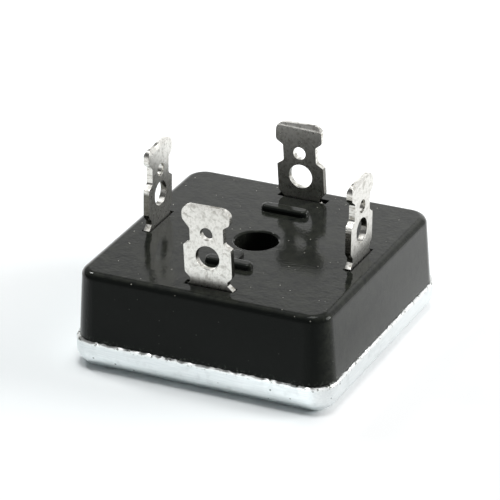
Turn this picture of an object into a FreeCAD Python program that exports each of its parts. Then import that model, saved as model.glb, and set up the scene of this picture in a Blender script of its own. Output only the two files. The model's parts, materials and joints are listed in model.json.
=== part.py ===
import FreeCAD, Part
import math
import os
import Sketcher

# Bridge rectifier: a moulded case seated in a drawn aluminium base, a round
# mounting hole through the middle and four stamped quick-connect lugs.
# Frame: origin at the centre of the underside, +Z up, the positive lug at -Y.

SIZES = [
    # Drawn aluminium base
    ("base_width", 35.0),
    ("base_rim", 3.9),
    ("base_sheet", 1.2),
    ("base_edge_round", 2.4),
    ("corner_over_bend", 0.6),
    ("base_lip_chamfer", 0.15),
    # Moulded case
    ("case_top", 12.9),
    ("case_inset", 0.25),
    ("case_draft", 0.55),
    ("case_foot_corner", 3.2),
    ("case_edge_round", 1.0),
    ("case_roof", 2.0),
    ("case_skirt", 1.4),
    ("skirt_side_gap", 0.1),
    ("skirt_end_gap", 0.2),
    ("cavity_corner", 1.6),
    ("hole_diameter", 5.5),
    ("hole_edge_chamfer", 0.2),
    ("tube_wall", 1.4),
    ("slot_end_gap", 0.15),
    ("slot_side_gap", 0.15),
    # Raised polarity signs, each set in from its own lug
    ("sign_height", 0.8),
    ("sign_length", 6.4),
    ("sign_width", 1.6),
    ("sign_edge_chamfer", 0.25),
    ("minus_to_lug", 4.95),
    ("plus_to_lug", 6.15),
    ("sign_shift", -0.15),
    # Stamped lugs: their place, then the blade's outline from its neck up
    ("lug_inset", 1.1),
    ("lug_sheet", 0.8),
    ("tab_width", 6.35),
    ("shoulder_width", 6.4),
    ("shoulder_drop", 0.35),
    ("neck_width", 5.0),
    ("neck_low", 0.3),
    ("neck_length", 0.5),
    ("neck_flare", 0.7),
    ("body_length", 3.6),
    ("waist_width", 4.5),
    ("waist_step", 0.6),
    ("waist_length", 2.15),
    ("head_flare", 0.6),
    ("head_length", 2.0),
    ("wire_hole", 3.2),
    ("wire_hole_rise", 2.2),
    ("detent_hole", 1.7),
    ("detent_below_tip", 3.6),
    ("tip_round", 1.2),
    ("head_round", 0.55),
    ("waist_round", 0.4),
    ("tip_bevel_height", 0.5),
    ("tip_bevel_depth", 0.2),
    # Below the roof: the blade's root, the leg and the bent foot
    ("blade_root", 1.5),
    ("root_overlap", 0.45),
    ("foot_seat", 2.5),
    ("foot_bend", 0.5),
    # How each lug stands: turned in its own plane (degrees), raised, moved along its slot
    ("positive_turn", 2.0),
    ("positive_lift", 0.2),
    ("positive_shift", 0.3),
    ("negative_turn", -2.6),
    ("negative_lift", -0.6),
    ("negative_shift", -0.1),
    ("left_turn", 2.9),
    ("left_lift", 0.2),
    ("left_shift", -0.05),
    ("right_turn", -3.5),
    ("right_lift", 0.3),
    ("right_shift", 0.15),
    # The positive lug's left notch was punched with a long soft upper flank
    ("soft_flank_rise", 0.1),
    ("soft_flank_drop", 0.45),
    # Inner assembly
    ("insulator_margin", 1.3),
    ("insulator_sheet", 0.6),
    ("insulator_hole_gap", 0.2),
    ("spreader_tube_gap", 0.55),
    ("die_width", 5.2),
    ("die_sheet", 0.35),
    ("solder_sheet", 0.15),
    ("solder_margin", 0.2),
    ("copper_end_margin", 0.2),
    ("spreader_side_margin", 0.9),
    ("spreader_sheet", 1.0),
    ("spreader_round", 0.8),
    ("strap_side_margin", 0.15),
    ("strap_sheet", 0.8),
    ("strap_rise", 0.7),
    ("strap_crown_margin", 0.825),
    ("strap_ramp", 0.9),
]

doc = FreeCAD.newDocument("bridge_rectifier")
sheet = doc.addObject("Spreadsheet::Sheet", "Sizes")


class Size:
    """A length with its number and the formula that binds it to the cells."""

    def __init__(self, number, formula):
        self.number = number
        self.formula = formula

    def __add__(self, other):
        other = as_size(other)
        return Size(self.number + other.number, "(%s + %s)" % (self.formula, other.formula))

    def __sub__(self, other):
        other = as_size(other)
        return Size(self.number - other.number, "(%s - %s)" % (self.formula, other.formula))

    def __mul__(self, factor):
        return Size(self.number * factor, "(%s * %s)" % (self.formula, factor))

    def __truediv__(self, factor):
        return Size(self.number / factor, "(%s / %s)" % (self.formula, factor))

    def __neg__(self):
        return Size(-self.number, "(-1 * %s)" % self.formula)


def as_size(value):
    if isinstance(value, Size):
        return value
    return Size(float(value), repr(float(value)))


def fill_sheet():
    sizes = {}
    for row, (alias, number) in enumerate(SIZES, start=1):
        sheet.set("A%d" % row, alias)
        sheet.set("B%d" % row, str(number))
        sheet.setAlias("B%d" % row, alias)
        sizes[alias] = Size(number, "Sizes." + alias)
    return sizes


size = fill_sheet()
doc.recompute()
ZERO = as_size(0)


def bind(item, path, value, unit=""):
    """Bind one property of an object to its formula."""
    item.setExpression(path, value.formula + unit)


def origin_plane(body, role):
    return [plane for plane in body.Origin.OriginFeatures if plane.Role == role][0]


def new_body(label):
    body = doc.addObject("PartDesign::Body", label)
    body.Label = label
    return body


def new_sketch(body, name, role, lift=ZERO):
    """A sketch on one of the body's own planes, moved along its normal."""
    sketch = body.newObject("Sketcher::SketchObject", name)
    sketch.AttachmentSupport = [(origin_plane(body, role), "")]
    sketch.MapMode = "FlatFace"
    bind(sketch, "AttachmentOffset.Base.z", lift)
    return sketch


def hold_point(sketch, line, end, across, up):
    """Hold one point of a sketch at two distances from the origin."""
    for kind, value in (("DistanceX", across), ("DistanceY", up)):
        index = sketch.addConstraint(Sketcher.Constraint(kind, -1, 1, line, end, value.number))
        bind(sketch, "Constraints[%d]" % index, value)


def straight_outline(sketch, corners):
    """A closed outline of straight lines through the given corners."""
    first = sketch.GeometryCount
    count = len(corners)
    points = [FreeCAD.Vector(across.number, up.number, 0) for across, up in corners]
    for index in range(count):
        sketch.addGeometry(Part.LineSegment(points[index], points[(index + 1) % count]))
    for index in range(count):
        following = first + (index + 1) % count
        sketch.addConstraint(Sketcher.Constraint("Coincident", first + index, 2, following, 1))
    for index, (across, up) in enumerate(corners):
        hold_point(sketch, first + index, 1, across, up)


def rectangle(sketch, left, right, low, high):
    straight_outline(sketch, [(left, low), (right, low), (right, high), (left, high)])


def circle(sketch, across, up, diameter):
    centre = FreeCAD.Vector(across.number, up.number, 0)
    normal = FreeCAD.Vector(0, 0, 1)
    index = sketch.addGeometry(Part.Circle(centre, normal, diameter.number / 2))
    hold_point(sketch, index, 3, across, up)
    held = sketch.addConstraint(Sketcher.Constraint("Diameter", index, diameter.number))
    bind(sketch, "Constraints[%d]" % held, diameter)


def rounded_square(sketch, width, corner):
    """A square about the origin with four equal corner arcs."""
    quarter = math.pi / 2
    inner = width / 2 - corner
    signs = [(1, 1), (-1, 1), (-1, -1), (1, -1)]
    outer = width.number / 2
    reach = inner.number
    for turn, (across, up) in enumerate(signs):
        centre = FreeCAD.Vector(across * reach, up * reach, 0)
        ring = Part.Circle(centre, FreeCAD.Vector(0, 0, 1), corner.number)
        sketch.addGeometry(Part.ArcOfCircle(ring, turn * quarter, (turn + 1) * quarter))
    ends = [
        ((reach, outer), (-reach, outer)),
        ((-outer, reach), (-outer, -reach)),
        ((-reach, -outer), (reach, -outer)),
        ((outer, -reach), (outer, reach)),
    ]
    for start, finish in ends:
        sketch.addGeometry(Part.LineSegment(FreeCAD.Vector(*start, 0), FreeCAD.Vector(*finish, 0)))
    for turn in range(4):
        line = 4 + turn
        sketch.addConstraint(Sketcher.Constraint("Tangent", turn, 2, line, 1))
        sketch.addConstraint(Sketcher.Constraint("Tangent", line, 2, (turn + 1) % 4, 1))
    for turn, (across, up) in enumerate(signs):
        hold_point(sketch, turn, 3, inner * across, inner * up)
        held = sketch.addConstraint(Sketcher.Constraint("Radius", turn, corner.number))
        bind(sketch, "Constraints[%d]" % held, corner)


def stroke(sketch, across, up, length, width, upright):
    """A straight stroke with half-round ends, along X or along Y."""
    run = (length - width) / 2
    bend = width / 2
    far = (across, up + run) if upright else (across + run, up)
    near = (across, up - run) if upright else (across - run, up)
    start = 0.0 if upright else -math.pi / 2
    normal = FreeCAD.Vector(0, 0, 1)
    for middle, turn in ((far, start), (near, start + math.pi)):
        centre = FreeCAD.Vector(middle[0].number, middle[1].number, 0)
        ring = Part.Circle(centre, normal, bend.number)
        sketch.addGeometry(Part.ArcOfCircle(ring, turn, turn + math.pi))
    first = sketch.Geometry[0]
    second = sketch.Geometry[1]
    sketch.addGeometry(Part.LineSegment(first.EndPoint, second.StartPoint))
    sketch.addGeometry(Part.LineSegment(second.EndPoint, first.StartPoint))
    for before, after in ((0, 2), (2, 1), (1, 3), (3, 0)):
        sketch.addConstraint(Sketcher.Constraint("Tangent", before, 2, after, 1))
    hold_point(sketch, 0, 3, *far)
    hold_point(sketch, 1, 3, *near)
    held = sketch.addConstraint(Sketcher.Constraint("Radius", 0, bend.number))
    bind(sketch, "Constraints[%d]" % held, bend)


def pad(body, sketch, length, midplane=False, reverse=False):
    feature = body.newObject("PartDesign::Pad", sketch.Name + "_pad")
    feature.Profile = sketch
    feature.Midplane = midplane
    feature.Reversed = reverse
    bind(feature, "Length", length)
    doc.recompute()
    return feature


def pocket(body, sketch, depth, midplane=False, reverse=False):
    """Cut a sketch out of the body, and make sure that it cut something."""
    before = body.Shape.Volume
    feature = body.newObject("PartDesign::Pocket", sketch.Name + "_cut")
    feature.Profile = sketch
    feature.Midplane = midplane
    feature.Reversed = reverse
    bind(feature, "Length", depth)
    doc.recompute()
    if body.Shape.Volume >= before:
        raise RuntimeError(feature.Name + " cut nothing")
    return feature


def dress(body, kind, name, picked, amount):
    """A fillet or chamfer on the edges of the body's tip that are picked."""
    base = body.Tip
    names = []
    for index, edge in enumerate(base.Shape.Edges, start=1):
        if picked(edge):
            names.append("Edge%d" % index)
    if not names:
        raise RuntimeError(name + " found no edge")
    feature = body.newObject("PartDesign::" + kind, name)
    feature.Base = (base, names)
    bind(feature, "Radius" if kind == "Fillet" else "Size", amount)
    doc.recompute()
    return feature


NEAR = 1e-4

# The leg of a 45 degree flat that touches a round of radius one at its middle
FLAT_FOR_ROUND = 2 - math.sqrt(2)


def all_at_height(edge, level):
    return all(abs(vertex.Z - level) < NEAR for vertex in edge.Vertexes)


def box_at(label, width, depth, thick, across, along, up):
    """A plain block centred at (across, along) with its underside at up."""
    block = doc.addObject("Part::Box", label)
    block.Label = label
    bind(block, "Length", width)
    bind(block, "Width", depth)
    bind(block, "Height", thick)
    bind(block, "Placement.Base.x", across - width / 2)
    bind(block, "Placement.Base.y", along - depth / 2)
    bind(block, "Placement.Base.z", up)
    return block


# The four lugs and the direction along each lug's slot, as X and Y
STATIONS = {
    "positive": (1, 0),
    "right": (0, 1),
    "negative": (-1, 0),
    "left": (0, -1),
}

# Levels and reaches that several pieces share
floor_level = size["base_sheet"]
rim_level = size["base_rim"]
top_level = size["case_top"]
roof_level = top_level - size["case_roof"]
skirt_level = size["base_edge_round"] + size["skirt_end_gap"]
base_corner = size["base_edge_round"] + size["corner_over_bend"]
base_inner_corner = base_corner - size["base_sheet"]
base_inner_width = size["base_width"] - size["base_sheet"] * 2
skirt_width = base_inner_width - size["skirt_side_gap"] * 2
cavity_width = skirt_width - size["case_skirt"] * 2
tube_diameter = size["hole_diameter"] + size["tube_wall"] * 2
lug_reach = cavity_width / 2 - size["lug_inset"]
spreader_half_depth = size["die_width"] / 2 + size["spreader_side_margin"]
die_reach = tube_diameter / 2 + size["spreader_tube_gap"] + spreader_half_depth
copper_end = die_reach + size["die_width"] / 2 + size["copper_end_margin"]
insulator_top = floor_level + size["insulator_sheet"]
spreader_top = insulator_top + size["spreader_sheet"]
die_level = spreader_top + size["solder_sheet"]
upper_solder_level = die_level + size["die_sheet"]
strap_level = upper_solder_level + size["solder_sheet"]
crown_top = strap_level + size["strap_rise"] + size["strap_sheet"]

# Heights on a lug's blade, measured from the top face of the case
neck_high = size["neck_low"] + size["neck_length"]
body_low = neck_high + size["neck_flare"]
body_high = body_low + size["body_length"]
waist_low = body_high + size["waist_step"]
waist_high = waist_low + size["waist_length"]
head_low = waist_high + size["head_flare"]
tab_tip = head_low + size["head_length"]
wire_hole_height = body_low + size["wire_hole_rise"]
detent_height = tab_tip - size["detent_below_tip"]


def make_heatsink_base():
    """The drawn pan: flat floor, upright rim, large outer bend, one hole."""
    body = new_body("heatsink_base")
    outline = new_sketch(body, "base_outline", "XY_Plane")
    rounded_square(outline, size["base_width"], base_corner)
    pad(body, outline, rim_level)
    dress(body, "Fillet", "base_bend", lambda edge: all_at_height(edge, 0), size["base_edge_round"])
    inside = new_sketch(body, "base_inside", "XY_Plane", rim_level)
    rounded_square(inside, base_inner_width, base_inner_corner)
    pocket(body, inside, rim_level - floor_level)
    inner_bend = size["base_edge_round"] - size["base_sheet"]
    dress(body, "Chamfer", "base_inner_bend",
          lambda edge: all_at_height(edge, floor_level.number), inner_bend * FLAT_FOR_ROUND)

    def outer_lip(edge):
        reach = max(abs(vertex.X) for vertex in edge.Vertexes)
        wide = max(reach, max(abs(vertex.Y) for vertex in edge.Vertexes))
        return all_at_height(edge, rim_level.number) and wide > size["base_width"].number / 2 - NEAR

    dress(body, "Chamfer", "base_lip", outer_lip, size["base_lip_chamfer"])
    hole = new_sketch(body, "base_hole", "XY_Plane", floor_level)
    circle(hole, ZERO, ZERO, size["hole_diameter"])
    pocket(body, hole, floor_level)
    return body


def make_case():
    """The moulded shell: drafted walls, skirt, centre tube, slots and signs."""
    body = new_body("case")
    foot = new_sketch(body, "case_foot", "XY_Plane", rim_level)
    rounded_square(foot, size["base_width"] - size["case_inset"] * 2, size["case_foot_corner"])
    height = top_level - rim_level
    walls = pad(body, foot, height)
    draft = size["case_draft"]
    walls.setExpression("TaperAngle", "-atan(%s / %s)" % (draft.formula, height.formula))
    doc.recompute()
    dress(body, "Fillet", "case_edge",
          lambda edge: all_at_height(edge, top_level.number), size["case_edge_round"])
    skirt = new_sketch(body, "case_skirt_outline", "XY_Plane", skirt_level)
    rounded_square(skirt, skirt_width, base_inner_corner - size["skirt_side_gap"])
    pad(body, skirt, rim_level - skirt_level)
    cavity = new_sketch(body, "case_cavity", "XY_Plane", skirt_level)
    rounded_square(cavity, cavity_width, size["cavity_corner"])
    pocket(body, cavity, roof_level - skirt_level, reverse=True)
    tube = new_sketch(body, "case_tube", "XY_Plane", floor_level)
    circle(tube, ZERO, ZERO, tube_diameter)
    pad(body, tube, roof_level - floor_level + size["case_roof"] / 2)
    hole = new_sketch(body, "case_hole", "XY_Plane", top_level)
    circle(hole, ZERO, ZERO, size["hole_diameter"])
    pocket(body, hole, top_level)

    def hole_rim(edge):
        round_edge = edge.Curve.TypeId == "Part::GeomCircle"
        return round_edge and all_at_height(edge, top_level.number)

    dress(body, "Chamfer", "case_hole_edge", hole_rim, size["hole_edge_chamfer"])
    slots = new_sketch(body, "case_slots", "XY_Plane", top_level)
    half_length = size["shoulder_width"] / 2 + size["slot_end_gap"]
    half_width = size["lug_sheet"] / 2 + size["slot_side_gap"]
    for name, (along_x, along_y) in STATIONS.items():
        shift = size[name + "_shift"]
        across = shift * along_x + lug_reach * along_y
        along = shift * along_y - lug_reach * along_x
        half_x, half_y = (half_length, half_width) if along_x else (half_width, half_length)
        rectangle(slots, across - half_x, across + half_x, along - half_y, along + half_y)
    pocket(body, slots, top_level - skirt_level)
    strokes = (
        ("minus_sign", lug_reach - size["minus_to_lug"], False),
        ("plus_across", size["plus_to_lug"] - lug_reach, False),
        ("plus_upright", size["plus_to_lug"] - lug_reach, True),
    )
    for name, along, upright in strokes:
        sign = new_sketch(body, name, "XY_Plane", top_level)
        stroke(sign, size["sign_shift"], along, size["sign_length"], size["sign_width"], upright)
        pad(body, sign, size["sign_height"])
    sign_top = top_level.number + size["sign_height"].number
    dress(body, "Chamfer", "sign_edges", lambda edge: all_at_height(edge, sign_top),
          size["sign_edge_chamfer"])
    return body


def blade_side(flank_rise, flank_drop):
    """Half of a blade's outline, from its root up to its tip.

    The notch under the head starts flank_rise higher and is full flank_drop lower.
    """
    half_tab = size["tab_width"] / 2
    half_waist = size["waist_width"] / 2
    half_neck = size["neck_width"] / 2
    half_shoulder = size["shoulder_width"] / 2
    return {
        "root": (half_shoulder, -size["blade_root"]),
        "shoulder": (half_shoulder, -size["shoulder_drop"]),
        "neck_low": (half_neck, size["neck_low"]),
        "neck_high": (half_neck, neck_high),
        "body_low": (half_tab, body_low),
        "body_high": (half_tab, body_high),
        "waist_low": (half_waist, waist_low),
        "waist_high": (half_waist, waist_high - flank_drop),
        "head_low": (half_tab, head_low + flank_rise),
        "tip": (half_tab, tab_tip),
    }


def make_leg(body, label, leg_top, foot_level):
    """The leg down into the case and the foot bent towards the middle."""
    thick = size["lug_sheet"]
    profile = new_sketch(body, label + "_profile", "YZ_Plane")
    outer = -lug_reach - thick / 2
    inner = thick / 2 - lug_reach
    foot_end = size["foot_seat"] - die_reach - spreader_half_depth
    straight_outline(profile, [
        (outer, foot_level),
        (foot_end, foot_level),
        (foot_end, foot_level + thick),
        (inner, foot_level + thick),
        (inner, leg_top),
        (outer, leg_top),
    ])
    pad(body, profile, size["tab_width"], midplane=True)

    def bend_line(along, up):
        def picked(edge):
            return all(abs(vertex.Y - along.number) < NEAR and abs(vertex.Z - up.number) < NEAR
                       for vertex in edge.Vertexes)
        return picked

    dress(body, "Fillet", label + "_inner_bend", bend_line(inner, foot_level + thick),
          size["foot_bend"])
    dress(body, "Fillet", label + "_outer_bend", bend_line(outer, foot_level),
          size["foot_bend"] + thick)


def bevel_tip(body, label, turn, blade_base):
    """A bevel on both faces of the tip, turned with the blade."""
    bevel = new_sketch(body, label + "_bevel", "YZ_Plane")
    bevel.AttachmentOffset = FreeCAD.Placement(FreeCAD.Vector(), FreeCAD.Vector(1, 0, 0), 1)
    bind(bevel, "AttachmentOffset.Base.y", blade_base)
    bind(bevel, "AttachmentOffset.Rotation.Angle", turn, " * 1 deg")
    low = tab_tip - size["tip_bevel_height"]
    past = tab_tip + size["tip_bevel_height"]
    for side in (-1, 1):
        face = size["lug_sheet"] / 2 * side - lug_reach
        cut_back = face - size["tip_bevel_depth"] * 2 * side
        corners = [(face, low), (cut_back, past), (face, past)]
        straight_outline(bevel, corners)
    pocket(body, bevel, size["tab_width"] * 2, midplane=True)


def make_lug(label, turn, lift, foot_level, left_flank):
    """One stamped lug: blade with waist and two holes, leg and bent foot.

    It is modelled at -Y with its foot towards the middle and then placed.
    """
    body = new_body(label)
    blade_base = top_level + lift
    make_leg(body, label, blade_base - size["blade_root"] + size["root_overlap"], foot_level)

    blade = new_sketch(body, label + "_blade", "XZ_Plane", lug_reach)
    bind(blade, "AttachmentOffset.Base.y", blade_base)
    bind(blade, "AttachmentOffset.Rotation.Angle", turn, " * 1 deg")
    right = blade_side(ZERO, ZERO)
    left = {name: (-across, up) for name, (across, up) in blade_side(*left_flank).items()}
    straight_outline(blade, list(right.values()) + list(reversed(left.values())))
    circle(blade, ZERO, wire_hole_height, size["wire_hole"])
    circle(blade, ZERO, detent_height, size["detent_hole"])
    doc.recompute()
    pad(body, blade, size["lug_sheet"], midplane=True)

    def corner_lines(names):
        marks = []
        for side in (right, left):
            for name in names:
                across, up = side[name]
                place = blade.Placement.multVec(FreeCAD.Vector(across.number, up.number, 0))
                marks.append((place.x, place.z))

        def picked(edge):
            return any(all(abs(vertex.X - across) < NEAR and abs(vertex.Z - up) < NEAR
                           for vertex in edge.Vertexes) for across, up in marks)
        return picked

    dress(body, "Fillet", label + "_tip_corners", corner_lines(["tip"]), size["tip_round"])
    dress(body, "Fillet", label + "_head_corners", corner_lines(["head_low", "body_low"]),
          size["head_round"])
    dress(body, "Fillet", label + "_waist_corners", corner_lines(["waist_high", "waist_low"]),
          size["waist_round"])
    bevel_tip(body, label, turn, blade_base)
    return body


def make_lugs():
    square = (ZERO, ZERO)
    soft = (size["soft_flank_rise"], size["soft_flank_drop"])
    lugs = (
        ("terminal_positive", "positive", 0, spreader_top, soft),
        ("terminal_ac_right", "right", 90, crown_top, square),
        ("terminal_negative", "negative", 180, spreader_top, square),
        ("terminal_ac_left", "left", 270, crown_top, square),
    )
    bodies = []
    for label, name, heading, foot_level, left_flank in lugs:
        body = make_lug(label, size[name + "_turn"], size[name + "_lift"], foot_level, left_flank)
        body.Placement = FreeCAD.Placement(FreeCAD.Vector(), FreeCAD.Vector(0, 0, 1), heading)
        along_x, along_y = STATIONS[name]
        shift = size[name + "_shift"]
        bind(body, "Placement.Base.x", shift * along_x)
        bind(body, "Placement.Base.y", shift * along_y)
        bodies.append(body)
    return bodies


def make_insulator():
    """The ceramic plate between the base and the live copper."""
    body = new_body("insulator_plate")
    plate = new_sketch(body, "insulator_outline", "XY_Plane", floor_level)
    half = cavity_width / 2 - size["insulator_margin"]
    rectangle(plate, -half, half, -half, half)
    pad(body, plate, size["insulator_sheet"])
    hole = new_sketch(body, "insulator_hole", "XY_Plane", insulator_top)
    circle(hole, ZERO, ZERO, tube_diameter + size["insulator_hole_gap"] * 2)
    pocket(body, hole, size["insulator_sheet"])
    return body


def make_spreader(label, side):
    """A copper plate under two dies, with its own lug's foot on it."""
    body = new_body(label)
    outline = new_sketch(body, label + "_outline", "XY_Plane", insulator_top)
    middle = die_reach * side
    rectangle(outline, -copper_end, copper_end,
              middle - spreader_half_depth, middle + spreader_half_depth)
    pad(body, outline, size["spreader_sheet"])
    dress(body, "Fillet", label + "_corners",
          lambda edge: abs(edge.Vertexes[0].Z - edge.Vertexes[-1].Z) > NEAR,
          size["spreader_round"])
    return body


def make_strap(label, side):
    """A copper strap that joins the tops of two dies, raised at its middle."""
    body = new_body(label)
    profile = new_sketch(body, label + "_profile", "YZ_Plane", die_reach * side)
    end = copper_end
    crown = size["tab_width"] / 2 + size["strap_crown_margin"]
    ramp = crown + size["strap_ramp"]
    low = strap_level
    high = strap_level + size["strap_rise"]
    thick = size["strap_sheet"]
    lower = [(-end, low), (-ramp, low), (-crown, high), (crown, high), (ramp, low), (end, low)]
    upper = [(along, up + thick) for along, up in reversed(lower)]
    straight_outline(profile, lower + upper)
    pad(body, profile, size["die_width"] + size["strap_side_margin"] * 2, midplane=True)
    return body


def make_dies():
    """Four silicon dies, each between two thin solder layers."""
    pieces = []
    corners = [(-1, -1), (1, -1), (1, 1), (-1, 1)]
    solder_width = size["die_width"] - size["solder_margin"] * 2
    for number, (across, along) in enumerate(corners, start=1):
        place = (die_reach * across, die_reach * along)
        pieces.append(box_at("solder_lower_%d" % number, solder_width, solder_width,
                             size["solder_sheet"], *place, spreader_top))
        pieces.append(box_at("diode_die_%d" % number, size["die_width"], size["die_width"],
                             size["die_sheet"], *place, die_level))
        pieces.append(box_at("solder_upper_%d" % number, solder_width, solder_width,
                             size["solder_sheet"], *place, upper_solder_level))
    return pieces


def make_potting(held):
    """The resin that fills the case round everything that it holds."""
    block = new_body("potting_block")
    outline = new_sketch(block, "potting_outline", "XY_Plane", floor_level)
    rounded_square(outline, cavity_width, size["cavity_corner"])
    pad(block, outline, roof_level - floor_level)
    tube_room = new_sketch(block, "potting_tube_room", "XY_Plane", roof_level)
    circle(tube_room, ZERO, ZERO, tube_diameter)
    pocket(block, tube_room, roof_level - floor_level)
    tools = doc.addObject("Part::MultiFuse", "potting_tools")
    tools.Shapes = held
    doc.recompute()
    potting = doc.addObject("Part::Cut", "potting")
    potting.Label = "potting"
    potting.Base = block
    potting.Tool = tools
    doc.recompute()
    return potting


def check_document():
    """Stop before anything is written if any object failed."""
    for item in doc.Objects:
        if "Invalid" in item.State or "Error" in item.State:
            raise RuntimeError("%s failed" % item.Name)


def write_parts(pieces):
    os.makedirs("parts", exist_ok=True)
    for piece in pieces:
        if piece.Shape.isNull() or not piece.Shape.isValid() or len(piece.Shape.Solids) != 1:
            raise RuntimeError("%s is not one valid solid" % piece.Label)
    for piece in pieces:
        piece.Shape.exportStep("parts/%s.step" % piece.Label)


held_pieces = [make_insulator()]
held_pieces.append(make_spreader("positive_spreader", -1))
held_pieces.append(make_spreader("negative_spreader", 1))
held_pieces.append(make_strap("ac_strap_left", -1))
held_pieces.append(make_strap("ac_strap_right", 1))
held_pieces.extend(make_dies())
held_pieces.extend(make_lugs())
doc.recompute()
pieces = [make_heatsink_base(), make_case()] + held_pieces
pieces.append(make_potting(held_pieces))
doc.recompute()
check_document()
write_parts(pieces)
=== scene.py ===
"""Looks of the bridge rectifier: moulded case, drawn base, stamped lugs and the studio around them."""

import json
import math

import bmesh
import bpy
from mathutils import Matrix, Vector


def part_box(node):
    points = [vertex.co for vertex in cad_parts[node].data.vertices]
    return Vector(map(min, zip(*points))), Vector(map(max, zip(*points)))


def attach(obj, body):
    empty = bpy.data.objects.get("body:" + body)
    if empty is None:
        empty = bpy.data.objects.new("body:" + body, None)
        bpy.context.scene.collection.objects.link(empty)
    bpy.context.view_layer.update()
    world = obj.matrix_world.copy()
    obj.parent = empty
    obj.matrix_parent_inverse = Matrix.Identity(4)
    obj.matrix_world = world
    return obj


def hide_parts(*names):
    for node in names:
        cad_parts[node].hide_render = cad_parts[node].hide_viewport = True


bl_info = {
    "name": "Bridge rectifier",
    "version": (1, 0, 0),
    "blender": (4, 5, 0),
    "location": "3D View > Sidebar > Rectifier",
    "description": "Dresses a packed bridge rectifier and sets up its studio",
    "category": "Object",
}

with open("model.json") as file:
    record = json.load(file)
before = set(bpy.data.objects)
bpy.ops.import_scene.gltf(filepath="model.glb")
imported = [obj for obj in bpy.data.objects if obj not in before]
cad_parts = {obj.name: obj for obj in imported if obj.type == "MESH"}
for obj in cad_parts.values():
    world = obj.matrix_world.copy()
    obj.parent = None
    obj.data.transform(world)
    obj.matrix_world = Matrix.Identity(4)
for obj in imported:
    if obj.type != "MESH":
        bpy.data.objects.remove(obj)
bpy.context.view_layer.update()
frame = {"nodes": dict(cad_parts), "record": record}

MM = 0.001
BODY = "root"

# The frame gives the levels that the new pieces need
RIM_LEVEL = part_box("heatsink_base")[1].z
BASE_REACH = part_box("heatsink_base")[1].x
TOP_LEVEL = frame["record"]["mounts"][0]["dims"]["length_mm"] * MM

# An edge is a corner, to be broken, where its faces turn by more than this
CASE_CORNER = math.radians(30)
LUG_CORNER = math.radians(40)

# An edge lies on the case's top face where both its ends are this near to it
FLUSH = 0.01 * MM

# Above this level the case has only the signs' upper edges
SIGN_CROWN = TOP_LEVEL + 0.3 * MM

# The straight part of each wall of the base, from its middle
WALL_REACH = 0.92 * BASE_REACH

# The rim's lip: its width and height, and the level of the cut that it bends from
LIP = 0.2 * MM
LIP_ROOT = RIM_LEVEL - 0.4 * MM

# Up to this level the lugs' sheared edges are painted dark, a painted reflection of the dark case
EDGE_SHADE_END = TOP_LEVEL + 4.8 * MM

# The front lug's tip bevel: the level where it starts, and its depth into the sheet
POSITIVE_BEVEL = TOP_LEVEL + 9.6 * MM
BEVEL_DEPTH = 0.3 * MM

# The left lug's head: where it starts, the stretches of it that get finer faces, up and
# along Y, and the tip and the stretch along Y that are dented
LEFT_HEAD = 22.3 * MM
LEFT_RISE = (22.5 * MM, 23.3 * MM)
LEFT_WIDTH = (-3.0 * MM, 1.8 * MM)
LEFT_TIP = 23.2 * MM
LEFT_DENT = (-1.5 * MM, -0.4 * MM)

# The negative lug's head: the stretch that gets finer faces, and the tip that is raised
NEGATIVE_RISE = (20.9 * MM, 22.1 * MM)
NEGATIVE_TIP = 22.15 * MM

# Each lug's node, the piece that replaces it, and the axis through its sheet
LUGS = (
    ("terminal_positive", "lug_positive", 1),
    ("terminal_negative", "lug_negative", 1),
    ("terminal_ac_left", "lug_ac_left", 0),
    ("terminal_ac_right", "lug_ac_right", 0),
)

# Each softbox: its name, place, edge length, and the setting that holds its power
SOFTBOXES = (
    ("overhead_softbox", (0.0, 0.0, 0.85), 0.36, "key"),
    ("side_softbox", (0.62, 0.28, 0.25), 0.35, "side"),
    ("left_softbox", (-0.51, 0.16, 0.66), 0.12, "left"),
)

WHITE = (1, 1, 1, 1)
FLOOR_RADIUS = 2.5

# Socket numbers of the Mix node for colours
MIX_FACTOR = 0
MIX_A = 6
MIX_B = 7
MIX_RESULT = 2


def linear(hex_colour):
    """An sRGB hex colour as linear red, green, blue and alpha."""
    channels = []
    for start in (1, 3, 5):
        value = int(hex_colour[start:start + 2], 16) / 255
        low = value / 12.92
        high = ((value + 0.055) / 1.055) ** 2.4
        channels.append(low if value <= 0.04045 else high)
    return (*channels, 1.0)


def per_metre(millimetres):
    """The texture scale that gives a pattern of that size."""
    return 1 / (millimetres * MM)


def add_node(tree, kind, sockets=None, **settings):
    """Add a node. Settings go on the node; each socket gets a link or a value.

    A node given for a socket is linked from its first output.
    """
    made = tree.nodes.new(kind)
    for name, value in settings.items():
        setattr(made, name, value)
    for name, value in (sockets or {}).items():
        if isinstance(value, bpy.types.Node):
            value = value.outputs[0]
        if isinstance(value, bpy.types.NodeSocket):
            tree.links.new(value, made.inputs[name])
        else:
            made.inputs[name].default_value = value
    return made


def new_material(name):
    """An empty procedural material with its output and object coordinates."""
    material = bpy.data.materials.new(name)
    material.use_nodes = True
    tree = material.node_tree
    tree.nodes.clear()
    output = add_node(tree, "ShaderNodeOutputMaterial")
    coordinates = add_node(tree, "ShaderNodeTexCoord")
    return material, tree, output, coordinates


def only(piece):
    """Make piece the one selected and active object."""
    bpy.ops.object.select_all(action="DESELECT")
    piece.select_set(True)
    bpy.context.view_layer.objects.active = piece


def apply_modifier(piece, kind, **settings):
    """Add a modifier with its settings and apply it."""
    only(piece)
    modifier = piece.modifiers.new(kind.title(), kind)
    for name, value in settings.items():
        setattr(modifier, name, value)
    bpy.ops.object.modifier_apply(modifier=modifier.name)


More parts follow.
